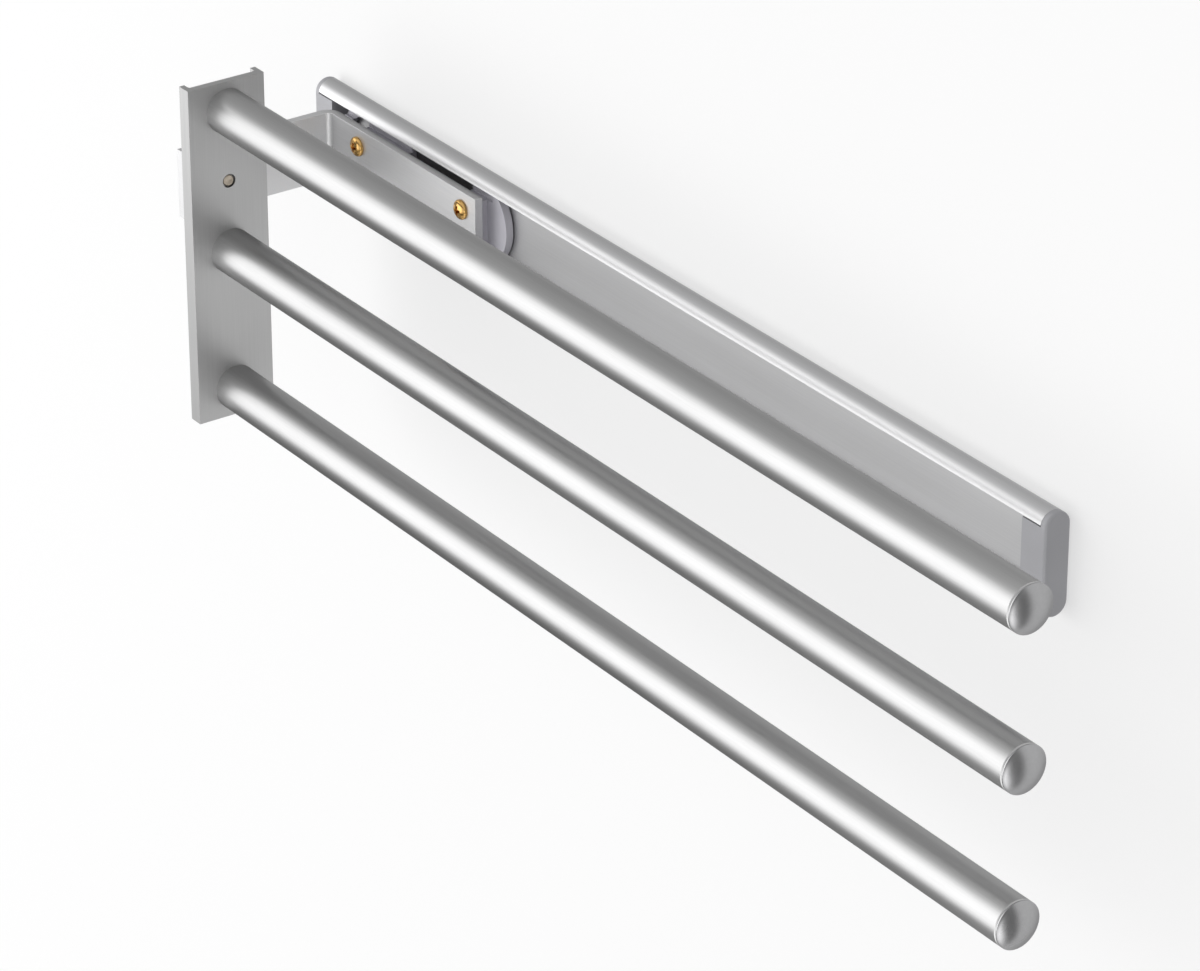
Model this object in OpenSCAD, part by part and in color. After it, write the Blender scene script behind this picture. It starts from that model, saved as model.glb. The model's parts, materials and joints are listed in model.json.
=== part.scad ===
// Pull-out towel rack for the inside of a bathroom cabinet or a narrow wall.
// A C-shaped rail is screwed to the side wall. A plastic slider runs captive in it and carries
// an angle bracket, a channel plate and three round towel bars, which pull out along the rail.
//
// Millimetres. X runs along the rail towards the free ends of the bars, Y into the wall, Z up.
// The origin is the centre of the rail's flat back, which lies on the wall.
// The rack is drawn pushed in, with the slider against the rear stop.

/* [Towel bars] */
// Length of a bar from the plate to the seam of its end cap
bar_length = 430; // [350:5:550]
// Outer diameter of a bar
bar_d = 16; // [13:0.5:18]
// Wall thickness of the bar tube
bar_wall = 1.5; // [1:0.1:2]
// Distance from one bar to the next
bar_pitch = 52; // [46:1:60]

/* [Bar end caps] */
// Thickness of the cap's straight rim
bar_cap_rim = 1; // [0.6:0.1:2]
// Height of the shallow dome on the rim
bar_cap_dome = 2.2; // [1:0.1:4]
// Length of the plug inside the tube
bar_cap_plug = 12; // [6:1:20]

/* [Bar fixing] */
// Length of the threaded insert in the plate end of a bar
bar_insert_length = 20; // [14:1:30]
// Diameter of the screw that holds a bar
bar_screw_d = 5; // [4:0.5:6]
// Diameter of that screw's head
bar_screw_head_d = 9; // [8:0.5:11]
// Height of that screw's head
bar_screw_head_h = 2.4; // [1.8:0.1:2.6]
// How far that screw reaches into the insert
bar_screw_grip = 11; // [8:1:13]

/* [Plate] */
// Width of the channel plate that the bars stand on
plate_w = 30; // [26:1:40]
// Distance from an outer bar's axis to the plate's end
plate_margin = 10.5; // [10:0.5:20]
// Depth of the channel over its lips
plate_depth = 5.6; // [5.4:0.1:8]
// Thickness of the channel's web
plate_web = 2.6; // [2:0.1:2.8]
// Thickness of the two lips along the long edges
plate_lip = 2; // [1.2:0.1:3]
// Radius inside the channel where lip and web meet
plate_fillet = 0.8; // [0.3:0.1:1.5]

/* [Bracket] */
// Thickness of the angle bracket
bracket_t = 3; // [2:0.1:4]
// Height of the angle bracket
bracket_h = 25; // [20:1:28]
// Clear space between the plate's edge and the bracket's slider leg
stand_off = 29.4; // [18:0.2:60]
// Inner radius of the bend
bend_r = 2; // [1:0.1:6]
// How far the bracket's middle lies below the rail's middle
bracket_drop = 1; // [0:0.5:3]
// How far the bracket's plate leg lies in front of the slider's rear end
leg_lead = 1; // [0:0.5:10]
// Length of the slider leg past the front bracket screw
leg_tail = 8.2; // [5:0.1:14]

/* [Bracket screws] */
// Distance between the two screws that join bracket and slider
screw_pitch = 64; // [50:1:90]
// Distance from the bracket's bend to the head of the rear screw
screw_set = 12.2; // [2:0.2:24]
// Height of these screws over the rail's middle
screw_rise = 5; // [0:0.5:6]
// Diameter of these screws and of the plate screw
screw_d = 4; // [3:0.5:4.5]
// Diameter of a screw head
screw_head_d = 7; // [6:0.5:8]
// Height of a screw head
screw_head_h = 2.1; // [1.6:0.1:2.8]
// How far a bracket screw reaches into its insert
screw_grip = 4.4; // [3:0.1:4.8]

/* [Rail] */
// Length of the rail over both end caps
rail_length = 400; // [320:5:520]
// Height of the rail
rail_h = 35; // [32:0.5:44]
// Depth of the rail, from the wall to its front
rail_w = 9.6; // [9.2:0.1:12]
// Wall thickness of the rail's half-round lips
rail_wall = 1.6; // [1.3:0.1:1.8]
// Thickness of the rail's web, which lies on the wall
rail_web = 3.2; // [2.6:0.1:3.6]
// Height of a lip, from the rail's top or bottom to the slot
lip_h = 4; // [3.8:0.1:6]
// Diameter of the two holes for the wall screws
wall_hole_d = 4.2; // [3.2:0.1:5]

/* [Rail end caps] */
// Thickness of the cap outside the rail
cap_flange = 2.5; // [1.5:0.1:4]
// Rounding of the cap's outer edge
cap_round = 1; // [0.4:0.1:1.4]
// Length of the cap's plug inside the rail
cap_plug = 8.5; // [8:0.5:20]
// Wall thickness of the hollow plug
cap_shell = 1.4; // [1:0.1:1.8]
// Height of the pocket in the plug that clears a wall screw's head
cap_pocket_h = 10; // [9:0.5:14]

/* [Slider] */
// Depth left free between the face of the slider's runner and the front of the rail's lips
face_room = 1.6; // [1.2:0.1:2]
// Distance from the slider's front end to the front bracket screw
screw_inset = 16.3; // [14:0.1:20]
// Width of the rim round the openings in the runner
slider_rim = 4; // [3:0.5:6]
// Length of the rear raised block
rear_block = 27; // [14:1:30]
// Length of the front raised block
front_block = 10; // [9.5:0.5:14]
// Diameter of a brass insert in a raised block
insert_d = 5.8; // [5.5:0.1:7]
// Length of a brass insert
insert_length = 5; // [4.5:0.1:5.4]

/* [Hidden] */
// Gap between slider and rail, on all sides
glide_gap = 0.4;
// Gap between the slider's blocks and the lips of the rail
block_gap = 0.5;
// Gap between the bracket and the front of the rail
rail_gap = 0.8;
// Gap left at each stop
stop_gap = 0.5;
// Gap round a press-in plug or insert
fit_gap = 0.05;
// Gap round a screw in a drilled hole
hole_gap = 0.15;
// Gap between the visible plug of a rail cap and the lips
plug_gap = 0.5;
// Gap between a rail cap's plug and the inside of the rail
inner_gap = 0.15;
// How far cuts run past a face
over = 1;
// Play behind the end of a screw or insert in its blind hole
bottom_gap = 0.6;
// Width of the slots in a screw's cross recess
recess_w = 1;
// Length of the slots in a screw's cross recess
recess_l = 3.8;
// Depth of the cross recess
recess_depth = 1.2;
// Straight rim under a screw's domed head
head_rim = 0.5;
// Bevel at a tube's ends and on an insert's mouth
edge_bevel = 0.3;
// Bevel round the hole for the plate screw, seen as a ring on the plate
ring_bevel = 0.35;
// How far the plate screw's end lies below the plate's face
tip_depth = 0.15;
// Number of facets of the drawn circles
$fn = 72;

// Depths are measured from the wall. The plate lies on the far side of the bracket.
bracket_back = rail_w + rail_gap;
bracket_face = bracket_back + bracket_t;
plate_near = bracket_face + stand_off;
plate_far = plate_near + plate_w;
bar_depth = plate_near + plate_w / 2;

// Places along the rail, from the rear end
rail_rear = -rail_length / 2;
rail_front = rail_length / 2;
slider_rear = rail_rear + cap_flange + cap_plug + stop_gap;
leg_back = slider_rear + leg_lead;
screw_rear = leg_back + bracket_t + bend_r + screw_set + screw_head_d / 2;
screw_front = screw_rear + screw_pitch;
slider_front = screw_front + screw_inset;
travel = rail_front - cap_flange - cap_plug - stop_gap - slider_front;
block_lead = front_block / 2;
block_rear = screw_rear - block_lead;
plate_face = leg_back + bracket_t + plate_depth;
plate_back = plate_face - plate_web;
bar_seam = plate_face + bar_length;

// The slider's runner fills the rail's channel and reaches up into its half-round lips
slot_h = rail_h - 2 * lip_h;
slider_back = rail_web + glide_gap;
slider_face = rail_w - rail_wall - face_room;
curve_r = rail_w / 2 - rail_wall - glide_gap;
curve_off = max(rail_w / 2 - slider_back, slider_face - rail_w / 2);
slider_h = rail_h - rail_w + 2 * sqrt(curve_r * curve_r - curve_off * curve_off);

// Heights, from the middle of the rail
bracket_z = -bracket_drop;
plate_z = bracket_z - bar_pitch / 2;
plate_h = 2 * (bar_pitch + plate_margin);
bar_heights = [plate_z + bar_pitch, plate_z, plate_z - bar_pitch];
bar_bore = bar_d - 2 * bar_wall;

// Wall screws sit under the two end caps' plugs, where the caps hide them
wall_hole_x = rail_front - cap_flange - cap_plug / 2;
wall_hole_pitch = 2 * wall_hole_x;

echo(travel = travel, wall_hole_pitch = wall_hole_pitch, bar_heights = bar_heights);
echo(bar_depth = bar_depth, plate_face = plate_face, bar_seam = bar_seam);
echo(screw_rear = screw_rear, screw_front = screw_front, slider_front = slider_front);
echo(slot_h = slot_h, slider_h = slider_h, slider_face = slider_face);

// Colours of the real finishes
module satin_metal() { color("silver") children(); }
module grey_plastic() { color("slategray") children(); }
module brass() { color("goldenrod") children(); }
module zinc_steel() { color("lightsteelblue") children(); }

// A bar with its axis along X, from x0 to x1
module rod_x(r, x0, x1) {
    translate([x0, 0, 0]) rotate([0, 90, 0]) cylinder(r = r, h = x1 - x0);
}

// A bar with its axis along Y, from depth d0 to the greater depth d1, measured from the wall
module rod_y(r, d0, d1) {
    translate([0, -d0, 0]) rotate([90, 0, 0]) cylinder(r = r, h = d1 - d0);
}

// A cone with its axis along X
module cone_x(r0, r1, x0, x1) {
    translate([x0, 0, 0]) rotate([0, 90, 0]) cylinder(r1 = r0, r2 = r1, h = x1 - x0);
}

// An outline in the YZ plane, drawn out along X
module along_x(x0, x1) {
    translate([x0, 0, 0]) rotate([90, 0, 90]) linear_extrude(x1 - x0) children();
}

// An outline in the XZ plane, drawn out from depth d0 to depth d1
module into_front(d0, d1) {
    translate([0, -d0, 0]) rotate([90, 0, 0]) linear_extrude(d1 - d0) children();
}

// A slot shape standing upright: two half rounds with a straight part between
module stadium(w, h) {
    straight = h - w;
    square([w, straight], center = true);
    for (side = [-1, 1]) translate([0, side * straight / 2]) circle(d = w);
}

// The rail: a C-shaped extrusion with a thick web, half-round lips and an open front
module rail_section() {
    inner_w = rail_w - 2 * rail_wall;
    difference() {
        translate([-rail_w / 2, 0]) stadium(rail_w, rail_h);
        intersection() {
            translate([-rail_w / 2, 0]) stadium(inner_w, rail_h - 2 * rail_wall);
            translate([-rail_w, -rail_h / 2]) square([rail_w - rail_web, rail_h]);
        }
        translate([-rail_w - over, -slot_h / 2]) square([rail_wall + 2 * over, slot_h]);
    }
}

module rail_profile() {
    satin_metal() difference() {
        along_x(rail_rear + cap_flange, rail_front - cap_flange) rail_section();
        for (side = [-1, 1]) translate([side * wall_hole_x, 0, 0])
            rod_y(wall_hole_d / 2, -over, rail_web + over);
    }
}

// One quarter of the cap's edge: a flat disc profile whose outer edge is rounded
module flange_profile(r, t, edge) {
    square([r - edge, t]);
    square([r, t - edge]);
    translate([r - edge, t - edge]) circle(r = edge);
}

// The cap's flange, lying on x = 0 and reaching to x = cap_flange
module cap_flange_solid() {
    r = rail_w / 2;
    straight = rail_h - rail_w;
    translate([0, -r, 0]) {
        for (side = [-1, 1]) translate([0, 0, side * straight / 2])
            rotate([0, 90, 0]) rotate_extrude() flange_profile(r, cap_flange, cap_round);
        for (side = [0, 1]) mirror([0, side, 0]) translate([0, 0, -straight / 2])
            linear_extrude(straight) rotate(90) mirror([0, 1])
                flange_profile(r, cap_flange, cap_round);
    }
}

// The front cap: a rounded flange, and a hollow plug that fills the rail and its slot
module rail_cap() {
    plug_w = rail_w - 2 * rail_wall - 2 * inner_gap;
    plug_h = rail_h - 2 * rail_wall - 2 * inner_gap;
    plug_depth = rail_w - rail_web - inner_gap;
    face_h = slot_h - 2 * plug_gap;
    difference() {
        union() {
            cap_flange_solid();
            along_x(-cap_plug, 0) {
                intersection() {
                    translate([-rail_w / 2, 0]) stadium(plug_w, plug_h);
                    translate([-rail_w, -plug_h / 2]) square([plug_depth, plug_h]);
                }
                translate([-rail_w, -face_h / 2]) square([plug_depth, face_h]);
            }
        }
        translate([-cap_plug + cap_shell, -rail_w + 2 * cap_shell, -cap_pocket_h / 2])
            cube([cap_plug - cap_shell, rail_w - 2 * cap_shell, cap_pocket_h]);
    }
}

module rail_cap_front() {
    grey_plastic() translate([rail_front - cap_flange, 0, 0]) rail_cap();
}

module rail_cap_rear() {
    grey_plastic() mirror([1, 0, 0]) translate([rail_front - cap_flange, 0, 0]) rail_cap();
}

// Outline of the slider seen from the front, drawn in by rim: a bar with half-round ends
module slider_outline(rim) {
    r = slider_h / 2 - rim;
    centres = [slider_rear + slider_h / 2, slider_front - slider_h / 2];
    translate([centres[0], -r]) square([centres[1] - centres[0], 2 * r]);
    for (x = centres) translate([x, 0]) circle(r = r);
}

// A span of the runner, from x0 to x1
module slider_span(x0, x1) {
    translate([x0, -slider_h / 2]) square([x1 - x0, slider_h]);
}

// The runner: behind and between the blocks it is open inside its rim, at the front it is whole
module slider_runner() {
    difference() {
        slider_outline(0);
        intersection() {
            slider_outline(slider_rim);
            union() {
                slider_span(slider_rear, block_rear);
                slider_span(block_rear + rear_block, screw_front - block_lead);
            }
        }
    }
}

// A raised block, from x0 to x1, that reaches out through the slot to the bracket
module slider_block(x0, x1) {
    block_h = slot_h - 2 * block_gap;
    into_front(slider_back, bracket_back) translate([x0, -block_h / 2])
        square([x1 - x0, block_h]);
}

// The slider: a thin runner with half-round ends and two raised blocks for the screws
module slider() {
    grey_plastic() difference() {
        union() {
            into_front(slider_back, slider_face) slider_runner();
            slider_block(block_rear, block_rear + rear_block);
            slider_block(screw_front - block_lead, screw_front + block_lead);
        }
        for (x = [screw_rear, screw_front]) translate([x, 0, screw_rise])
            rod_y(insert_d / 2 + fit_gap, bracket_back - insert_length - bottom_gap,
                  bracket_back + over);
    }
}

// A brass insert with a threaded bore, set flush in its block
module slider_insert(x) {
    brass() translate([x, 0, screw_rise]) difference() {
        rod_y(insert_d / 2, bracket_back - insert_length, bracket_back);
        rod_y(screw_d / 2 + fit_gap, bracket_back - insert_length - over,
              bracket_back + over);
    }
}

module slider_insert_front() { slider_insert(screw_front); }
module slider_insert_rear() { slider_insert(screw_rear); }

// The bracket from above: two legs at a right angle with a rounded bend
module bracket_outline() {
    bend = bend_r + bracket_t;
    leg_end = screw_front + leg_tail;
    corner = [leg_back + bend, -bracket_back - bend];
    translate([leg_back, -plate_far]) square([bracket_t, plate_far + corner[1]]);
    translate([corner[0], -bracket_face]) square([leg_end - corner[0], bracket_t]);
    intersection() {
        difference() {
            translate(corner) circle(r = bend);
            translate(corner) circle(r = bend_r);
        }
        translate([leg_back, corner[1]]) square(bend);
    }
}

module bracket() {
    satin_metal() difference() {
        translate([0, 0, bracket_z - bracket_h / 2]) linear_extrude(bracket_h)
            bracket_outline();
        for (x = [screw_rear, screw_front]) translate([x, 0, screw_rise])
            rod_y(screw_d / 2 + hole_gap, bracket_back - over, bracket_face + over);
        translate([0, -bar_depth, bracket_z])
            rod_x(screw_d / 2 + hole_gap, leg_back - over, leg_back + bracket_t + over);
    }
}

// Half the outline of a domed screw head, turned about its axis
module head_outline(head_d, head_h) {
    rise = head_h - head_rim;
    sphere_r = (head_d * head_d / 4 + rise * rise) / (2 * rise);
    square([head_d / 2, head_rim]);
    intersection() {
        translate([0, head_h - sphere_r]) circle(r = sphere_r);
        translate([0, head_rim / 2]) square([head_d / 2, head_h]);
    }
}

// A screw along +Z of its own frame: head above z = 0, shank below it
module cross_screw(d, length, head_d, head_h) {
    difference() {
        union() {
            rotate_extrude() head_outline(head_d, head_h);
            translate([0, 0, -length]) cylinder(d = d, h = length + head_rim / 2);
        }
        for (turn = [0, 90]) rotate(turn)
            translate([-recess_l / 2, -recess_w / 2, head_h - recess_depth])
                cube([recess_l, recess_w, recess_depth + over]);
    }
}

module bracket_screw(x) {
    brass() translate([x, -bracket_face, screw_rise]) rotate([90, 0, 0])
        cross_screw(screw_d, bracket_t + screw_grip, screw_head_d, screw_head_h);
}

module bracket_screw_front() { bracket_screw(screw_front); }
module bracket_screw_rear() { bracket_screw(screw_rear); }

// The plate: a shallow channel, open towards the rear, with holes for bars and bracket
module plate_section() {
    inside = plate_w - 2 * plate_lip;
    floor_x = plate_back;
    difference() {
        translate([plate_face - plate_depth, -plate_far]) square([plate_depth, plate_w]);
        difference() {
            translate([plate_face - plate_depth - over, -plate_far + plate_lip])
                square([floor_x - plate_face + plate_depth + over, inside]);
            for (side = [0, 1])
                translate([floor_x, -plate_far + plate_lip + side * inside])
                    mirror([0, side]) difference() {
                        translate([-plate_fillet, 0]) square(plate_fillet);
                        translate([-plate_fillet, plate_fillet]) circle(r = plate_fillet);
                    }
        }
    }
}

module bar_plate() {
    satin_metal() difference() {
        translate([0, 0, plate_z - plate_h / 2]) linear_extrude(plate_h) plate_section();
        for (z = bar_heights) translate([0, -bar_depth, z])
            rod_x(bar_screw_d / 2 + hole_gap, plate_back - over, plate_face + over);
        translate([0, -bar_depth, bracket_z]) {
            rod_x(screw_d / 2 + fit_gap, plate_back - over, plate_face + over);
            cone_x(screw_d / 2 + fit_gap, screw_d / 2 + fit_gap + ring_bevel,
                   plate_face - ring_bevel, plate_face);
        }
    }
}

// The screw that joins bracket and plate; its end shows on the plate between two bars
module plate_screw() {
    brass() translate([leg_back, -bar_depth, bracket_z]) rotate([0, -90, 0])
        cross_screw(screw_d, plate_face - leg_back - tip_depth, screw_head_d, screw_head_h);
}

// A ring that fills the channel round the plate screw
module plate_spacer() {
    zinc_steel() translate([0, -bar_depth, bracket_z]) difference() {
        rod_x(screw_head_d / 2, leg_back + bracket_t, plate_back);
        rod_x(screw_d / 2 + hole_gap, leg_back + bracket_t - over, plate_back + over);
    }
}

// A towel bar: a round tube with bevelled ends, square on the plate
module towel_bar(z) {
    satin_metal() translate([0, -bar_depth, z]) difference() {
        union() {
            rod_x(bar_d / 2, plate_face, bar_seam - edge_bevel);
            cone_x(bar_d / 2, bar_d / 2 - edge_bevel, bar_seam - edge_bevel, bar_seam);
        }
        rod_x(bar_bore / 2, plate_face - over, bar_seam + over);
    }
}

module towel_bar_top() { towel_bar(bar_heights[0]); }
module towel_bar_middle() { towel_bar(bar_heights[1]); }
module towel_bar_bottom() { towel_bar(bar_heights[2]); }

// Half the outline of an end cap: plug, bevelled rim and dome, turned about its axis
module bar_cap_outline() {
    rim_r = bar_d / 2;
    dome_r = rim_r - edge_bevel;
    sphere_r = (dome_r * dome_r + bar_cap_dome * bar_cap_dome) / (2 * bar_cap_dome);
    translate([0, -bar_cap_plug]) square([bar_bore / 2 - fit_gap, bar_cap_plug + edge_bevel]);
    polygon([[0, 0], [dome_r, 0], [rim_r, edge_bevel], [rim_r, bar_cap_rim - edge_bevel],
             [dome_r, bar_cap_rim], [0, bar_cap_rim]]);
    intersection() {
        translate([0, bar_cap_rim + bar_cap_dome - sphere_r]) circle(r = sphere_r);
        translate([0, bar_cap_rim / 2]) square([dome_r, bar_cap_rim + bar_cap_dome]);
    }
}

module bar_cap(z) {
    satin_metal() translate([bar_seam, -bar_depth, z]) rotate([0, 90, 0])
        rotate_extrude() bar_cap_outline();
}

module bar_cap_top() { bar_cap(bar_heights[0]); }
module bar_cap_middle() { bar_cap(bar_heights[1]); }
module bar_cap_bottom() { bar_cap(bar_heights[2]); }

// A threaded plug pressed into the plate end of a bar
module bar_insert(z) {
    zinc_steel() translate([0, -bar_depth, z]) difference() {
        rod_x(bar_bore / 2 - fit_gap, plate_face, plate_face + bar_insert_length);
        rod_x(bar_screw_d / 2 + fit_gap, plate_face - over,
              plate_face + bar_screw_grip + bottom_gap);
        cone_x(bar_screw_d / 2 + fit_gap + edge_bevel, bar_screw_d / 2 + fit_gap,
               plate_face, plate_face + edge_bevel);
    }
}

module bar_insert_top() { bar_insert(bar_heights[0]); }
module bar_insert_middle() { bar_insert(bar_heights[1]); }
module bar_insert_bottom() { bar_insert(bar_heights[2]); }

// A bar's screw, with its head inside the channel of the plate
module bar_screw(z) {
    zinc_steel() translate([plate_back, -bar_depth, z]) rotate([0, -90, 0])
        cross_screw(bar_screw_d, plate_web + bar_screw_grip, bar_screw_head_d,
                    bar_screw_head_h);
}

module bar_screw_top() { bar_screw(bar_heights[0]); }
module bar_screw_middle() { bar_screw(bar_heights[1]); }
module bar_screw_bottom() { bar_screw(bar_heights[2]); }

rail_profile();
rail_cap_front();
rail_cap_rear();
slider();
slider_insert_front();
slider_insert_rear();
bracket();
bracket_screw_front();
bracket_screw_rear();
bar_plate();
plate_screw();
plate_spacer();
towel_bar_top();
towel_bar_middle();
towel_bar_bottom();
bar_cap_top();
bar_cap_middle();
bar_cap_bottom();
bar_insert_top();
bar_insert_middle();
bar_insert_bottom();
bar_screw_top();
bar_screw_middle();
bar_screw_bottom();
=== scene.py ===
# %% [markdown]
# This lesson dresses a pull-out towel rack: a rail on the wall, a slider captive in it, an angle
# bracket, an upright plate and three round bars. The measured model comes in first and stays
# fixed, in metres, with X along the rail, Y into the wall and Z up. Everything that follows
# takes its place from it.

# %% Load the measured model
import json
from math import asin, cos, pi, radians, sin

import bpy
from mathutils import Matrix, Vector


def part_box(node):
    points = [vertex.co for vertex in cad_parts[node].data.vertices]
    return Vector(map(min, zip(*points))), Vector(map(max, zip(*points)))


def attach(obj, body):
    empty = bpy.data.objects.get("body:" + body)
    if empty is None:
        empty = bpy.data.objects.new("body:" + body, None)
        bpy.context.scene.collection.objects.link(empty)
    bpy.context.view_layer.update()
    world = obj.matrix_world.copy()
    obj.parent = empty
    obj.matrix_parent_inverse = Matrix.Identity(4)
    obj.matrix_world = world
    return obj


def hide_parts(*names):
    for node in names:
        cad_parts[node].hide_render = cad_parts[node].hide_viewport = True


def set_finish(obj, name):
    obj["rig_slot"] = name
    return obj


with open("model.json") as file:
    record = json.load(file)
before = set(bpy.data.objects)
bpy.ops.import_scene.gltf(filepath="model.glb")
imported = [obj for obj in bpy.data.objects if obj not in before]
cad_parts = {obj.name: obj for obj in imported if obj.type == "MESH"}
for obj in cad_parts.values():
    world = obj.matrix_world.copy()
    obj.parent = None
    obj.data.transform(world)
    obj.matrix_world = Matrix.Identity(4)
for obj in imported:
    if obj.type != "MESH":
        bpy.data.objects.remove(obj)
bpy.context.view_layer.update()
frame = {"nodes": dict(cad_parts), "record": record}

nodes = frame["nodes"]
mm = 0.001

# %% [markdown]
# The photograph looks down on the rack from the right, with a long lens, so the bars hardly
# converge. The camera is placed by two angles and a distance from a point near the middle of
# the rack, and aimed by turning its own -Z axis to that point. Its lens and its sensor are given
# in millimetres, as on a real camera.

# %% Camera
camera_target = Vector((5.6, -32.8, -47.3)) * mm
camera_azimuth = radians(55.0)
camera_elevation = radians(27.25)
camera_distance = 1730 * mm
camera_lens = 161.2
camera_sensor = 36

towards_camera = Vector((sin(camera_azimuth) * cos(camera_elevation),
                         -cos(camera_azimuth) * cos(camera_elevation),
                         sin(camera_elevation)))
bpy.ops.object.camera_add(location=camera_target + towards_camera * camera_distance)
camera = bpy.context.object
camera.name = "camera"
camera.rotation_euler = (-towards_camera).to_track_quat("-Z", "Y").to_euler()
camera.data.lens = camera_lens
camera.data.sensor_width = camera_sensor
bpy.context.scene.camera = camera
bpy.context.scene.view_settings.view_transform = "Standard"
print("camera at", tuple(round(c, 3) for c in camera.location))

# %% [markdown]
# Pieces are modelled with the same few moves, so these helpers name them. Operators act on all
# that is selected, and the measured nodes arrive selected, so each piece starts from a clean
# selection. A finished piece keeps its place in its mesh, with its object at the origin. Points
# that are closer than a thousandth of a millimetre count as one point.

# %% Helpers for modelling
same_place = 0.001 * mm


def only(piece):
    """Selects this object alone and makes it active."""
    bpy.ops.object.select_all(action="DESELECT")
    piece.select_set(True)
    bpy.context.view_layer.objects.active = piece


def start_piece(name):
    """Names the primitive that was just added and gives it an untransformed object."""
    piece = bpy.context.object
    piece.name = name
    piece.data.name = name
    bpy.ops.object.transform_apply(location=True, rotation=True, scale=True)
    return piece


def edit_all(piece, mode="VERT"):
    """Opens the piece in edit mode with all of it selected."""
    only(piece)
    bpy.ops.object.mode_set(mode="EDIT")
    bpy.ops.mesh.select_mode(type=mode)
    bpy.ops.mesh.select_all(action="SELECT")


def pick(piece, wanted):
    """Opens the piece in edit mode with the points selected for which wanted(place) is true."""
    only(piece)
    for group in (piece.data.polygons, piece.data.edges):
        for item in group:
            item.select = False
    for vertex in piece.data.vertices:
        vertex.select = bool(wanted(vertex.co))
    bpy.ops.object.mode_set(mode="EDIT")
    bpy.ops.mesh.select_mode(type="VERT")


def leave():
    """Goes back to object mode, where the mesh takes the edits over."""
    bpy.ops.object.mode_set(mode="OBJECT")


# %% [markdown]
# Bars, end caps and screw heads are all turned parts. A lathe's profile is a list of steps, each
# an advance along the axis and a radius. The helper draws one ring from step to step: it extrudes
# the ring along Z and resizes it. A profile that comes back to its first ring makes a closed
# tube, and one that ends on the axis is closed with a single point there and a flat face at its
# start. The finished shape is then turned from Z to its own axis and carried to its place.

# %% A lathe
round_sides = 96


def turned(name, profile, axis, place, sides=round_sides):
    """A turned shape whose axis starts at place; profile holds its rings, as (advance, radius)."""
    height, radius = profile[0]
    bpy.ops.object.select_all(action="DESELECT")
    bpy.ops.mesh.primitive_circle_add(vertices=sides, radius=radius, location=(0, 0, height))
    piece = start_piece(name)
    edit_all(piece)
    for next_height, next_radius in profile[1:]:
        bpy.ops.mesh.extrude_edges_move(
            TRANSFORM_OT_translate={"value": (0, 0, next_height - height)})
        if next_radius > 0:
            ratio = next_radius / radius
            bpy.ops.transform.resize(value=(ratio, ratio, 1),
                                     center_override=(0, 0, next_height))
        else:
            bpy.ops.mesh.merge(type="CENTER")
        height, radius = next_height, next_radius
    leave()
    if profile[-1] != profile[0]:
        pick(piece, lambda p: abs(p.z - profile[0][0]) < same_place
             and abs(p.xy.length - profile[0][1]) < same_place)
        bpy.ops.mesh.edge_face_add()
        leave()
    edit_all(piece)
    bpy.ops.mesh.remove_doubles(threshold=same_place)
    bpy.ops.mesh.normals_make_consistent(inside=False)
    leave()
    piece.rotation_euler = Vector(axis).to_track_quat("Z", "Y").to_euler()
    piece.location = place
    bpy.ops.object.transform_apply(location=True, rotation=True, scale=True)
    return piece


# %% [markdown]
# The towel bars are drawn aluminium tubes. A plain cylinder would do for the outside, but the
# real tube has a wall and its end is broken by a fine chamfer, which shows as the thin line
# where the cap meets it. So each bar is turned as a closed tube, inside and out. It rides on the
# carriage, the body that pulls out, and it stands for the measured bar of the same name.

# %% Towel bars
tube_wall = 1.5 * mm
seam_chamfer = 0.35 * mm
smooth_up_to = radians(30)
bar_names = ("top", "middle", "bottom")


def middle_of(node):
    """The middle of a measured node's box."""
    low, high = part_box(node)
    return (low + high) / 2


def place_piece(piece, body, slot_name, *replaced):
    """Says what the piece rides on, where its finish comes from and which nodes it stands for."""
    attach(piece, body)
    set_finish(piece, slot_name)
    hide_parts(*replaced)
    print(piece.name, "faces:", len(piece.data.polygons))


for which in bar_names:
    low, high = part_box("towel_bar_" + which)
    centre = middle_of("towel_bar_" + which)
    bar_radius = (high.z - low.z) / 2
    bar_length = high.x - low.x
    bore = bar_radius - tube_wall
    tube = [(0, bar_radius), (bar_length - seam_chamfer, bar_radius),
            (bar_length, bar_radius - seam_chamfer), (bar_length, bore), (0, bore),
            (0, bar_radius)]
    bar = turned(f"bar_{which}", tube, (1, 0, 0), (low.x, centre.y, centre.z))
    bpy.ops.object.shade_smooth_by_angle(angle=smooth_up_to)
    place_piece(bar, "carriage", "bar_satin", "towel_bar_" + which)
print("bar radius and length in mm:", round(bar_radius / mm, 2), round(bar_length / mm, 1))

# %% [markdown]
# Each bar ends in a turned cap: a plug inside the tube, a rim that meets the seam with its own
# chamfer, and a crown that is a part of a sphere. The sphere's radius follows from the crown's
# height and its own radius at the rim, and the rings are spaced evenly by angle, from the rim to
# the axis.

# %% Bar caps
plug_taper = 0.5 * mm
plug_fit = 0.05 * mm
rim = 0.9 * mm
crown_steps = 18

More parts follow.
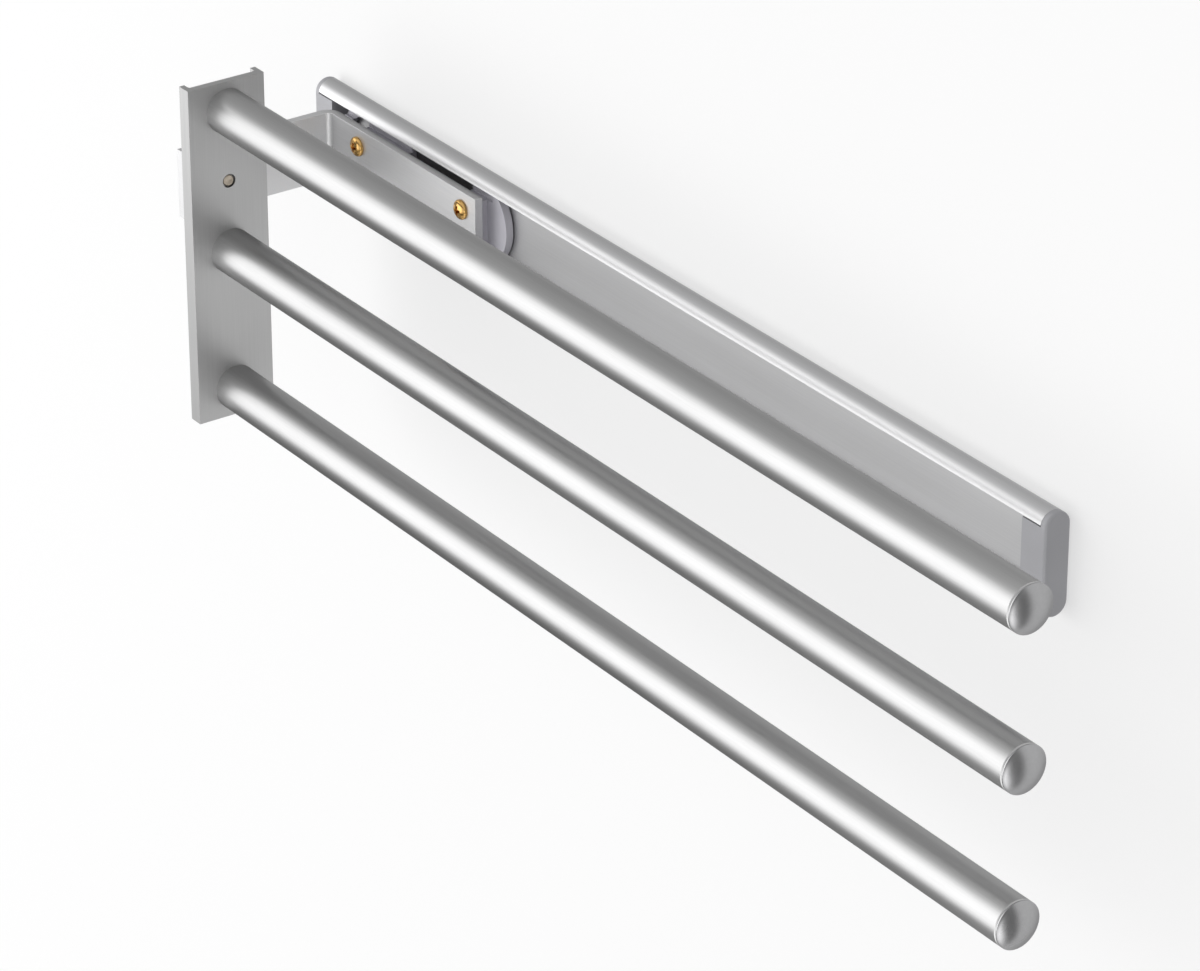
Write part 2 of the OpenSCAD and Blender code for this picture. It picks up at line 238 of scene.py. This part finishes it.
for which in bar_names:
    low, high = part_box("bar_cap_" + which)
    centre = middle_of("towel_bar_" + which)
    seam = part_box("towel_bar_" + which)[1].x
    plug_end = low.x - seam
    cap_radius = (high.z - low.z) / 2
    plug_radius = cap_radius - tube_wall - plug_fit
    crown_radius = cap_radius - seam_chamfer
    crown_height = high.x - seam - rim
    sphere = (crown_radius ** 2 + crown_height ** 2) / (2 * crown_height)
    widest = asin(crown_radius / sphere)
    profile = [(plug_end, plug_radius - plug_taper), (plug_end + plug_taper, plug_radius),
               (0, plug_radius), (0, crown_radius), (seam_chamfer, cap_radius),
               (rim - seam_chamfer / 2, cap_radius)]
    for step in range(crown_steps):
        turn = widest * (1 - step / crown_steps)
        profile.append((rim + crown_height - sphere * (1 - cos(turn)), sphere * sin(turn)))
    profile.append((rim + crown_height, 0))
    cap = turned(f"crown_{which}", profile, (1, 0, 0), (seam, centre.y, centre.z))
    bpy.ops.object.shade_smooth_by_angle(angle=smooth_up_to)
    place_piece(cap, "carriage", "bar_cap_satin", "bar_cap_" + which)
print("radius of the crown's sphere in mm:", round(sphere / mm, 2))

# %% [markdown]
# The other pieces are cut and rounded, as in a workshop. A boolean modifier takes one solid away
# from another, and a bevel modifier rounds the sharp edges, because the small radius on a real
# edge is what catches the light. Both can leave slivers, so points that lie almost on each other
# are merged afterwards.

# %% Helpers for cutting and rounding
sliver = 0.002 * mm
sharp_from = radians(35)


def apply_modifier(piece, modifier):
    """Writes what a modifier does into the mesh."""
    only(piece)
    bpy.ops.object.modifier_apply(modifier=modifier.name)


def cut_away(piece, cutter):
    """Cuts one solid out of another and throws the cutter away."""
    boolean = piece.modifiers.new("cut", "BOOLEAN")
    boolean.operation = "DIFFERENCE"
    boolean.solver = "EXACT"
    boolean.object = cutter
    apply_modifier(piece, boolean)
    bpy.data.objects.remove(cutter)


def merge_slivers(piece, reach):
    """Merges points that lie closer than reach, and drops the faces that this leaves flat."""
    edit_all(piece)
    bpy.ops.mesh.remove_doubles(threshold=reach)
    bpy.ops.mesh.dissolve_degenerate(threshold=reach / 2)
    leave()


def soften(piece, width, steps=3):
    """Rounds every sharp edge a little, then shades the round parts smooth and the flats flat."""
    bevel = piece.modifiers.new("soft_edges", "BEVEL")
    bevel.width = width
    bevel.segments = steps
    bevel.limit_method = "ANGLE"
    bevel.angle_limit = sharp_from
    apply_modifier(piece, bevel)
    merge_slivers(piece, sliver)
    bpy.ops.object.shade_smooth_by_angle(angle=sharp_from)
    weighted = piece.modifiers.new("flat_faces", "WEIGHTED_NORMAL")
    weighted.keep_sharp = True
    apply_modifier(piece, weighted)


def box_between(name, low, high):
    """A box from its lowest to its highest corner."""
    low, high = Vector(low), Vector(high)
    bpy.ops.object.select_all(action="DESELECT")
    bpy.ops.mesh.primitive_cube_add(size=1, location=(low + high) / 2, scale=high - low)
    return start_piece(name)


def drill(piece, name, radius, depth, turn, place, sides):
    """Cuts a round hole with its middle at place; turn lays the drill from Z to its own axis."""
    bpy.ops.object.select_all(action="DESELECT")
    bpy.ops.mesh.primitive_cylinder_add(vertices=sides, radius=radius, depth=depth,
                                        rotation=turn, location=place)
    cut_away(piece, start_piece(name))


# %% [markdown]
# The rail is an extrusion with half-round lips and a channel. Its outline is a circle whose upper
# and lower halves are moved apart, drawn out along X. The same is done once more for the hollow,
# which is cut at the web, and a box opens the slot between the lips. Two drilled holes take the
# wall screws. The circle leans by half a step, so each end of the rail is out of square by 0.3 mm
# over its depth, which is too little to see beside the end caps.

# %% A drawn outline
circle_lean = pi / round_sides


def drawn_outline(name, width, height, start, end, middle):
    """A half-round ended outline about y = middle and z = 0, drawn along X from start to end."""
    bpy.ops.object.select_all(action="DESELECT")
    bpy.ops.mesh.primitive_circle_add(vertices=round_sides, radius=width / 2, fill_type="NGON",
                                      rotation=(circle_lean, 0, 0))
    piece = start_piece(name)
    piece.rotation_euler = (0, pi / 2, 0)
    bpy.ops.object.transform_apply(location=False, rotation=True, scale=False)
    for side in (-1, 1):
        pick(piece, lambda p: p.z * side > 0)
        bpy.ops.transform.translate(value=(0, 0, side * (height - width) / 2))
        leave()
    piece.location = (start, middle, 0)
    bpy.ops.object.transform_apply(location=True, rotation=False, scale=False)
    edit_all(piece, "FACE")
    bpy.ops.mesh.extrude_region_move(TRANSFORM_OT_translate={"value": (end - start, 0, 0)})
    bpy.ops.mesh.select_all(action="SELECT")
    bpy.ops.mesh.normals_make_consistent(inside=False)
    leave()
    return piece


# %% Rail
lip_wall = 1.6 * mm
lip_height = 4 * mm
lip_edge = 0.05 * mm
web = 3.2 * mm
wall_hole_radius = 2.1 * mm
wall_hole_place = 193.25 * mm
wall_hole_sides = 48
overrun = 1 * mm

rail_low, rail_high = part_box("rail_profile")
end_cap_low, end_cap_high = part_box("rail_cap_front")
rail_depth = end_cap_high.y - end_cap_low.y
rail_height = end_cap_high.z - end_cap_low.z
slot_half = rail_height / 2 - lip_height

rail = drawn_outline("rail_extrusion", rail_depth, rail_height, rail_low.x, rail_high.x,
                     -rail_depth / 2)
hollow = drawn_outline("hollow", rail_depth - 2 * lip_wall, rail_height - 2 * lip_wall,
                       rail_low.x - overrun, rail_high.x + overrun, -rail_depth / 2)
edit_all(hollow)
bpy.ops.mesh.bisect(plane_co=(0, -web, 0), plane_no=(0, 1, 0), use_fill=True, clear_outer=True)
leave()
cut_away(rail, hollow)
slot = box_between("slot", (rail_low.x - overrun, -rail_depth - overrun, -slot_half),
                   (rail_high.x + overrun, -rail_depth + lip_wall + overrun, slot_half))
cut_away(rail, slot)
for side in (-1, 1):
    drill(rail, "wall_hole", wall_hole_radius, 2 * web + 2 * overrun, (pi / 2, 0, 0),
          (side * wall_hole_place, 0, 0), wall_hole_sides)
soften(rail, lip_edge, steps=2)
place_piece(rail, "rail", "rail_satin", "rail_profile")
print("rail depth and height in mm:", round(rail_depth / mm, 2), round(rail_height / mm, 2))

# %% [markdown]
# Plate, bracket, slider and the rail's end caps already have their true shapes. What a measured
# solid lacks is the small radius on every edge. Each is copied, its loose triangles are merged
# and its flat faces made whole again, and then its edges are rounded: most on the end caps and
# least on the sawn plate. Two small cuts come first. The slider's blocks step back behind the
# top edge of the bracket's leg, which leaves the dark gap there, and the plate's screw hole
# opens in a wider ring.

# %% Small cuts in the slider and the plate
gap_reach, gap_depth = 3 * mm, 5 * mm
ring_radius, ring_depth = 2.5 * mm, 1.6 * mm
ring_sides = 64


def cut_shadow_gap(slider):
    """Steps the slider's blocks back behind the top edge of the bracket's leg."""
    low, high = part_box("slider")
    leg_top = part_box("bracket")[1]
    gap = box_between("shadow_gap",
                      (low.x - overrun, low.y - overrun, leg_top.z - gap_reach),
                      (leg_top.x, low.y + gap_depth, high.z + overrun))
    cut_away(slider, gap)


def widen_screw_hole(plate):
    """Widens the hole round the plate's screw where it opens on the plate's face."""
    hole = middle_of("plate_screw")
    plate_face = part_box("bar_plate")[1].x
    drill(plate, "drilled_edge", ring_radius, 2 * ring_depth, (0, pi / 2, 0),
          (plate_face, hole.y, hole.z), ring_sides)


# %% Sawn and moulded pieces
flat_within = radians(0.3)
plate_edge = 0.3 * mm
bracket_edge = 0.45 * mm
slider_edge = 0.35 * mm
end_cap_edge = 0.6 * mm


def measured_copy(node, name):
    """A copy of a measured node's mesh, with its triangles joined to whole faces."""
    piece = bpy.data.objects.new(name, nodes[node].data.copy())
    piece.data.name = name
    bpy.context.scene.collection.objects.link(piece)
    only(piece)
    bpy.ops.mesh.customdata_custom_splitnormals_clear()
    edit_all(piece)
    bpy.ops.mesh.remove_doubles(threshold=same_place)
    bpy.ops.mesh.dissolve_limited(angle_limit=flat_within)
    leave()
    return piece


for node, name, body, slot_name, edge, small_cut in (
        ("bar_plate", "upright_plate", "carriage", "plate_brushed", plate_edge, widen_screw_hole),
        ("bracket", "angle_bracket", "carriage", "bracket_satin", bracket_edge, None),
        ("slider", "slider_moulding", "carriage", "slider_plastic", slider_edge, cut_shadow_gap),
        ("rail_cap_front", "end_cap_front", "rail", "cap_plastic", end_cap_edge, None),
        ("rail_cap_rear", "end_cap_rear", "rail", "cap_plastic", end_cap_edge, None)):
    piece = measured_copy(node, name)
    if small_cut:
        small_cut(piece)
    soften(piece, edge)
    place_piece(piece, body, slot_name, node)

# %% [markdown]
# Two screws show a domed brass head with a cross recess, and a third shows only its end, in the
# plate. Head and shank are one turned shape. The recess is cut twice with a box whose floor is
# made smaller, as a driver's tip tapers, and the slivers that the cuts leave in the dome are
# merged.

# %% A screw with a cross recess
head_radius, head_height, head_rim = 3.5 * mm, 2.1 * mm, 0.5 * mm
shank_radius, shank_chamfer = 2 * mm, 0.35 * mm
recess_length, recess_width, recess_depth = 4.4 * mm, 1.3 * mm, 1.5 * mm
recess_floor_share = 0.5
recess_sliver = 0.01 * mm
dome_steps = 10
screw_sides = 64


def cross_screw(name, seat, axis, reach):
    """A domed screw whose head lies on seat and points along axis; the shank reaches back."""
    profile = [(-reach + shank_chamfer / 2, shank_radius / 4), (-reach, shank_radius / 2),
               (-reach, shank_radius - shank_chamfer), (-reach + shank_chamfer, shank_radius),
               (0, shank_radius), (0, head_radius - seam_chamfer / 2),
               (seam_chamfer / 2, head_radius), (head_rim, head_radius)]
    dome = head_height - head_rim
    for step in range(1, dome_steps):
        turn = pi / 2 * step / dome_steps
        profile.append((head_rim + dome * sin(turn), head_radius * cos(turn)))
    profile.append((head_height, 0))
    screw = turned(name, profile, (0, 0, 1), (0, 0, 0), sides=screw_sides)
    floor = head_height - recess_depth
    for length, width in ((recess_length, recess_width), (recess_width, recess_length)):
        cutter = box_between("recess", (-length / 2, -width / 2, floor),
                             (length / 2, width / 2, head_height + overrun))
        pick(cutter, lambda p: p.z < floor + same_place)
        bpy.ops.transform.resize(value=(recess_floor_share, recess_floor_share, 1),
                                 center_override=(0, 0, floor))
        leave()
        cut_away(screw, cutter)
    merge_slivers(screw, recess_sliver)
    bpy.ops.object.shade_smooth_by_angle(angle=smooth_up_to)
    screw.rotation_euler = Vector(axis).to_track_quat("Z", "X").to_euler()
    screw.location = seat
    only(screw)
    bpy.ops.object.transform_apply(location=True, rotation=True, scale=True)
    return screw


# %% Screws
bracket_thickness = 3 * mm
leg_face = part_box("slider")[0].y - bracket_thickness

for which in ("front", "rear"):
    node = "bracket_screw_" + which
    seat = middle_of(node)
    seat.y = leg_face
    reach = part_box(node)[1].y - seat.y
    bracket_screw = cross_screw(f"brass_screw_{which}", seat, (0, -1, 0), reach)
    place_piece(bracket_screw, "carriage", "brass", node)

seat = middle_of("plate_screw")
seat.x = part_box("bracket")[0].x
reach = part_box("plate_screw")[1].x - seat.x
plate_screw = cross_screw("brass_screw_plate", seat, (-1, 0, 0), reach)
place_piece(plate_screw, "carriage", "brass", "plate_screw")

# %% [markdown]
# Every finish is a small node tree. These helpers keep each tree short: one starts a material,
# one adds a noise that reads the piece's own coordinates, stretched as the grain needs, and the
# others map a pattern to a range of values, to a run of colours or to a relief. Nearly all of a
# noise lies between 0.3 and 0.7, so a pattern is mapped from that range.

# %% Helpers for materials
noise_low, noise_high = 0.3, 0.7


def start_material(name):
    """A new material, and its main shader."""
    material = bpy.data.materials.new(name)
    material.use_nodes = True
    return material, material.node_tree.nodes["Principled BSDF"]


def add_node(tree, kind, **values):
    """Adds a node and sets its sockets; a socket's name is written with _ for each space."""
    node = tree.nodes.new(kind)
    for socket, value in values.items():
        node.inputs[socket.replace("_", " ")].default_value = value
    return node


def grain(material, waves, detail=3.0, roughness=0.55):
    """A noise on the piece's own coordinates, with this many waves per metre along X, Y and Z."""
    tree = material.node_tree
    place = add_node(tree, "ShaderNodeTexCoord")
    mapping = add_node(tree, "ShaderNodeMapping", Scale=waves)
    noise = add_node(tree, "ShaderNodeTexNoise", Scale=1.0, Detail=detail, Roughness=roughness)
    tree.links.new(place.outputs["Object"], mapping.inputs["Vector"])
    tree.links.new(mapping.outputs["Vector"], noise.inputs["Vector"])
    return noise.outputs["Fac"]


def spread(material, pattern, low, high):
    """Maps a noise to the range from low to high."""
    ranged = add_node(material.node_tree, "ShaderNodeMapRange", From_Min=noise_low,
                      From_Max=noise_high, To_Min=low, To_Max=high)
    material.node_tree.links.new(pattern, ranged.inputs["Value"])
    return ranged.outputs["Result"]


def tint(material, pattern, low, high):
    """Runs from one colour to another as the noise rises."""
    ramp = add_node(material.node_tree, "ShaderNodeValToRGB")
    first, last = ramp.color_ramp.elements
    first.position = noise_low
    first.color = (*low, 1)
    last.position = noise_high
    last.color = (*high, 1)
    material.node_tree.links.new(pattern, ramp.inputs["Fac"])
    return ramp.outputs["Color"]


def relief(material, pattern, height):
    """Presses a pattern into the surface, with its height in metres."""
    bump = add_node(material.node_tree, "ShaderNodeBump", Distance=height, Strength=1.0)
    material.node_tree.links.new(pattern, bump.inputs["Height"])
    return bump.outputs["Normal"]


def shades(colour, darker, lighter):
    """A darker and a lighter shade of one colour."""
    return tuple(c * darker for c in colour), tuple(c * lighter for c in colour)


# %% [markdown]
# The metal is anodised aluminium. Each profile was brushed or drawn one way before the bath, so
# its grain is a noise pulled out along that way: it moves the grey a little and leaves fine
# scratches, while broad clouds break up the gloss. The edge tint keeps the metal grey where it
# turns away. The caps were turned and not drawn, so their grain is even.

# %% Satin aluminium
metal_dark, metal_light = 0.965, 1.03
cloud_waves, cloud_detail = (9.0, 30.0, 30.0), 2.0
cloud_gloss, cloud_matt = -0.02, 0.03


def satin_metal(name, grey, roughness, waves, scratch, edge):
    """Satin aluminium with this grey, roughness, grain, depth of scratches and grey at the edge."""
    material, shader = start_material(name)
    fine = grain(material, waves)
    clouds = grain(material, cloud_waves, detail=cloud_detail)
    links = material.node_tree.links
    links.new(tint(material, fine, *shades(grey, metal_dark, metal_light)),
              shader.inputs["Base Color"])
    links.new(spread(material, clouds, roughness + cloud_gloss, roughness + cloud_matt),
              shader.inputs["Roughness"])
    links.new(relief(material, fine, scratch), shader.inputs["Normal"])
    shader.inputs["Metallic"].default_value = 1.0
    shader.inputs["Specular Tint"].default_value = (edge, edge, edge, 1)
    return material


bar_satin = satin_metal("bar_satin", grey=(0.42, 0.42, 0.42), roughness=0.36,
                        waves=(60, 2600, 2600), scratch=0.004 * mm, edge=0.45)
rail_satin = satin_metal("rail_satin", grey=(0.56, 0.56, 0.565), roughness=0.42,
                         waves=(25, 3200, 3200), scratch=0.005 * mm, edge=0.45)
bracket_satin = satin_metal("bracket_satin", grey=(0.65, 0.65, 0.655), roughness=0.48,
                            waves=(60, 2400, 2400), scratch=0.005 * mm, edge=0.45)
plate_brushed = satin_metal("plate_brushed", grey=(0.45, 0.45, 0.45), roughness=0.42,
                            waves=(2800, 2800, 22), scratch=0.008 * mm, edge=0.5)
cap_satin = satin_metal("bar_cap_satin", grey=(0.37, 0.37, 0.375), roughness=0.28,
                        waves=(900, 900, 900), scratch=0.003 * mm, edge=0.45)

# %% [markdown]
# The slider and the rail's end caps are moulded plastic with a fine matt skin, whose colour
# drifts a little where the plastic flowed.

# %% Moulded plastic
plastic_dark, plastic_light = 0.95, 1.05
plastic_detail = 2.0
skin_waves, flow_waves = (2200, 2200, 2200), (40, 40, 40)
skin_swing, skin_height = 0.05, 0.012 * mm


def moulded_plastic(name, colour, roughness):
    """Matt plastic of this colour, with a moulded skin."""
    material, shader = start_material(name)
    skin = grain(material, skin_waves, detail=plastic_detail)
    flow = grain(material, flow_waves, detail=plastic_detail)
    links = material.node_tree.links
    links.new(tint(material, flow, *shades(colour, plastic_dark, plastic_light)),
              shader.inputs["Base Color"])
    links.new(spread(material, skin, roughness - skin_swing, roughness + skin_swing),
              shader.inputs["Roughness"])
    links.new(relief(material, skin, skin_height), shader.inputs["Normal"])
    return material


cap_plastic = moulded_plastic("cap_plastic", colour=(0.39, 0.39, 0.41), roughness=0.5)
slider_plastic = moulded_plastic("slider_plastic", colour=(0.58, 0.57, 0.62), roughness=0.45)

# %% [markdown]
# The brass screws have dulled a little, so their colour and gloss run between two shades in small
# spots. The end of the plate's screw is duller still, and the hidden steel is zinc plated.

# %% Brass and steel
dulling_waves, dulling_height = (700, 700, 700), 0.006 * mm
dulling_gloss, dulling_matt = -0.06, 0.08


def plated_metal(name, low, high, roughness):
    """Metal whose colour runs in spots from low to high."""
    material, shader = start_material(name)
    dulling = grain(material, dulling_waves)
    links = material.node_tree.links
    links.new(tint(material, dulling, low, high), shader.inputs["Base Color"])
    links.new(spread(material, dulling, roughness + dulling_gloss, roughness + dulling_matt),
              shader.inputs["Roughness"])
    links.new(relief(material, dulling, dulling_height), shader.inputs["Normal"])
    shader.inputs["Metallic"].default_value = 1.0
    return material


brass = plated_metal("brass", low=(0.42, 0.24, 0.07), high=(0.68, 0.43, 0.16), roughness=0.2)
screw_end = plated_metal("screw_end", low=(0.36, 0.31, 0.25), high=(0.54, 0.48, 0.40),
                         roughness=0.42)
zinc_steel = plated_metal("zinc_steel", low=(0.50, 0.52, 0.55), high=(0.62, 0.64, 0.67),
                          roughness=0.3)

# %% [markdown]
# Now every measured node and every modelled piece gets its finish. The record names the finish of
# each node, and a modelled piece carries the name of its own. The plate's screw comes last,
# because it shows only its duller end.

# %% Dress the nodes and the pieces
finish_of_slot = {"bar_satin": bar_satin, "rail_satin": rail_satin,
                  "bracket_satin": bracket_satin, "plate_brushed": plate_brushed,
                  "bar_cap_satin": cap_satin, "cap_plastic": cap_plastic,
                  "slider_plastic": slider_plastic, "brass": brass, "zinc_steel": zinc_steel}


def dress(piece, material):
    """Gives the piece this material alone."""
    piece.data.materials.clear()
    piece.data.materials.append(material)


for part in frame["record"]["subparts"]:
    dress(nodes[part["node"]], finish_of_slot[part["material_slot"]])
modelled = [o for o in bpy.data.objects if o.type == "MESH" and "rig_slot" in o]
for piece in modelled:
    dress(piece, finish_of_slot[piece["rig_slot"]])
dress(plate_screw, screw_end)

# %% [markdown]
# The rack hangs on a white wall, so the stage is a wall that sweeps into a pale floor well below
# the rack. It is one sheet: a plane on the floor, its back edge pulled up, and the corner rounded
# with a bevel.

# %% Wall and floor
wall_left, wall_right = -1.2, 1.4
wall_top, floor_level = 0.9, -0.75
floor_depth = 1.8
wall_gap = 0.4 * mm
sweep_radius, sweep_steps = 0.12, 12
sweep_smooth = radians(40)

bpy.ops.object.select_all(action="DESELECT")
bpy.ops.mesh.primitive_plane_add(size=1)
stage = bpy.context.object
stage.name = "wall_and_floor"
stage.scale = (wall_right - wall_left, floor_depth, 1)
stage.location = ((wall_left + wall_right) / 2, wall_gap - floor_depth / 2, floor_level)
bpy.ops.object.transform_apply(location=True, rotation=True, scale=True)
pick(stage, lambda p: p.y > 0)
bpy.ops.mesh.select_mode(type="EDGE")
bpy.ops.mesh.extrude_region_move(TRANSFORM_OT_translate={"value": (0, 0, wall_top - floor_level)})
leave()
sweep = stage.modifiers.new("sweep", "BEVEL")
sweep.width = sweep_radius
sweep.segments = sweep_steps
apply_modifier(stage, sweep)
bpy.ops.object.shade_smooth_by_angle(angle=sweep_smooth)
print("stage:", len(stage.data.polygons), "faces")

# %% [markdown]
# Part of the wall's white is a glow of its own, so that it looks evenly lit, and the rest takes
# the rack's soft shadow. The back of the sheet is see-through, so that the rack can be looked at
# from behind too. The wall is hidden from mirrored and scattered light, so the metal mirrors the
# white room in its place.

# %% White of the wall
stage_grey, stage_glow, stage_roughness = 0.38, 0.54, 0.9

stage_white, shader = start_material("stage_white")
shader.inputs["Base Color"].default_value = (stage_grey, stage_grey, stage_grey, 1)
shader.inputs["Roughness"].default_value = stage_roughness
shader.inputs["Specular IOR Level"].default_value = 0.0
shader.inputs["Emission Color"].default_value = (1, 1, 1, 1)
shader.inputs["Emission Strength"].default_value = stage_glow
tree = stage_white.node_tree
side_seen = add_node(tree, "ShaderNodeNewGeometry")
see_through = add_node(tree, "ShaderNodeBsdfTransparent")
choose = add_node(tree, "ShaderNodeMixShader")
tree.links.new(side_seen.outputs["Backfacing"], choose.inputs["Fac"])
tree.links.new(shader.outputs["BSDF"], choose.inputs[1])
tree.links.new(see_through.outputs["BSDF"], choose.inputs[2])
tree.links.new(choose.outputs["Shader"], tree.nodes["Material Output"].inputs["Surface"])
dress(stage, stage_white)
stage.visible_shadow = False
stage.visible_diffuse = False
stage.visible_glossy = False
print("white of the wall:", stage_grey, "and a glow of", stage_glow)

# %% [markdown]
# Satin metal shows little but what stands around it, so the room matters as much as the metal.
# It is plain white to the camera and in a mirror, and gives half of that as light, so that pale
# faces don't burn out.

# %% White room
room_light, room_white = 0.5, 1.0

world = bpy.data.worlds.new("white_room")
bpy.context.scene.world = world
world.use_nodes = True
room = world.node_tree
background = room.nodes["Background"]
background.inputs["Color"].default_value = (1, 1, 1, 1)
ray = add_node(room, "ShaderNodeLightPath")
seen_or_mirrored = ray.outputs["Is Camera Ray"]
for kind in ("Is Glossy Ray", "Is Transmission Ray"):
    either = add_node(room, "ShaderNodeMath")
    either.operation = "MAXIMUM"
    room.links.new(seen_or_mirrored, either.inputs[0])
    room.links.new(ray.outputs[kind], either.inputs[1])
    seen_or_mirrored = either.outputs["Value"]
strength = add_node(room, "ShaderNodeMapRange", To_Min=room_light, To_Max=room_white)
room.links.new(seen_or_mirrored, strength.inputs["Value"])
room.links.new(strength.outputs["Result"], background.inputs["Strength"])
print("room:", room_white, "when seen or mirrored,", room_light, "as light")

# %% [markdown]
# A white room alone would leave the bars flat, so one large softbox stands at the left front,
# which draws the broad white band along each bar, and dim panels above, below and to the right
# draw the dark ones. A bright panel low on the right shows in the narrow faces that look that
# way, and a fill panel lights the wall and the plastic and isn't mirrored. All are plain planes
# whose light fades towards their edges. Only the softbox and the fill light what is matt, and the
# camera sees none of the panels.

# %% A panel of light
half_side = 0.5


def edge_fade(tree, position, fade):
    """Falls from 1 to 0 over the outer share of a unit plane, by the position on one axis."""
    off_centre = add_node(tree, "ShaderNodeMath")
    off_centre.operation = "ABSOLUTE"
    tree.links.new(position, off_centre.inputs[0])
    share = add_node(tree, "ShaderNodeMapRange", From_Min=half_side, From_Max=half_side - fade)
    share.interpolation_type = "SMOOTHSTEP"
    tree.links.new(off_centre.outputs["Value"], share.inputs["Value"])
    return share.outputs["Result"]


def glow_material(name, radiance, fade):
    """Glows evenly in the middle of a unit plane and is clear at its edges."""
    material, shader = start_material(name)
    tree = material.node_tree
    place = add_node(tree, "ShaderNodeTexCoord")
    axes = add_node(tree, "ShaderNodeSeparateXYZ")
    tree.links.new(place.outputs["Object"], axes.inputs["Vector"])
    both = add_node(tree, "ShaderNodeMath")
    both.operation = "MULTIPLY"
    tree.links.new(edge_fade(tree, axes.outputs["X"], fade), both.inputs[0])
    tree.links.new(edge_fade(tree, axes.outputs["Y"], fade), both.inputs[1])
    glow = add_node(tree, "ShaderNodeEmission", Strength=radiance)
    clear = add_node(tree, "ShaderNodeBsdfTransparent")
    blend = add_node(tree, "ShaderNodeMixShader")
    tree.links.new(both.outputs["Value"], blend.inputs["Fac"])
    tree.links.new(clear.outputs["BSDF"], blend.inputs[1])
    tree.links.new(glow.outputs["Emission"], blend.inputs[2])
    tree.links.new(blend.outputs["Shader"], tree.nodes["Material Output"].inputs["Surface"])
    tree.nodes.remove(shader)
    return material


def panel(name, direction, distance, width, height, radiance, fade, matt=False, mirror=True):
    """A glowing plane that faces the rack; matt and mirror say which surfaces it lights."""
    direction = Vector(direction).normalized()
    bpy.ops.object.select_all(action="DESELECT")
    bpy.ops.mesh.primitive_plane_add(size=1, location=direction * distance)
    plane = bpy.context.object
    plane.name = name
    plane.scale = (width, height, 1)
    plane.rotation_euler = direction.to_track_quat("Z", "Y").to_euler()
    plane.data.materials.append(glow_material(name, radiance, fade))
    plane.visible_camera = False
    plane.visible_shadow = False
    plane.visible_diffuse = matt
    plane.visible_glossy = mirror
    print(name, "radiance:", radiance)


# %% [markdown]
# A bar is a mirror that is curved about X alone. So all that it mirrors to the camera lies on a
# cone about X, and the panels above and below are placed by their angle on that cone. The cone's
# shares along and across the bar are those of the camera's own direction, rounded.

# %% Softbox and panels
cone_along, cone_across = 0.725, 0.69


def beside_bar(turn):
    """The direction that a bar mirrors, turned from the front upwards by an angle in degrees."""
    return (-cone_along, -cone_across * cos(radians(turn)), cone_across * sin(radians(turn)))


panel("softbox", (-0.64, -0.77, 0.03), distance=3.0, width=7.2, height=5.3,
      radiance=2.6, fade=0.35, matt=True)
panel("fill", (0.62, -0.75, 0.2), distance=2.0, width=2.4, height=2.4,
      radiance=1.35, fade=0.35, matt=True, mirror=False)
panel("dim_panel_above", beside_bar(110), distance=1.3, width=2.6, height=2.0,
      radiance=0.6, fade=0.3)
panel("dim_panel_below", beside_bar(-88), distance=1.0, width=2.2, height=1.1,
      radiance=0.25, fade=0.3)
panel("dim_panel_right", (0.97, -0.02, -0.22), distance=1.3, width=1.1, height=3.8,
      radiance=0.25, fade=0.32)
panel("side_panel", (0.72, -0.45, -0.50), distance=1.3, width=1.1, height=2.2,
      radiance=2.7, fade=0.35)
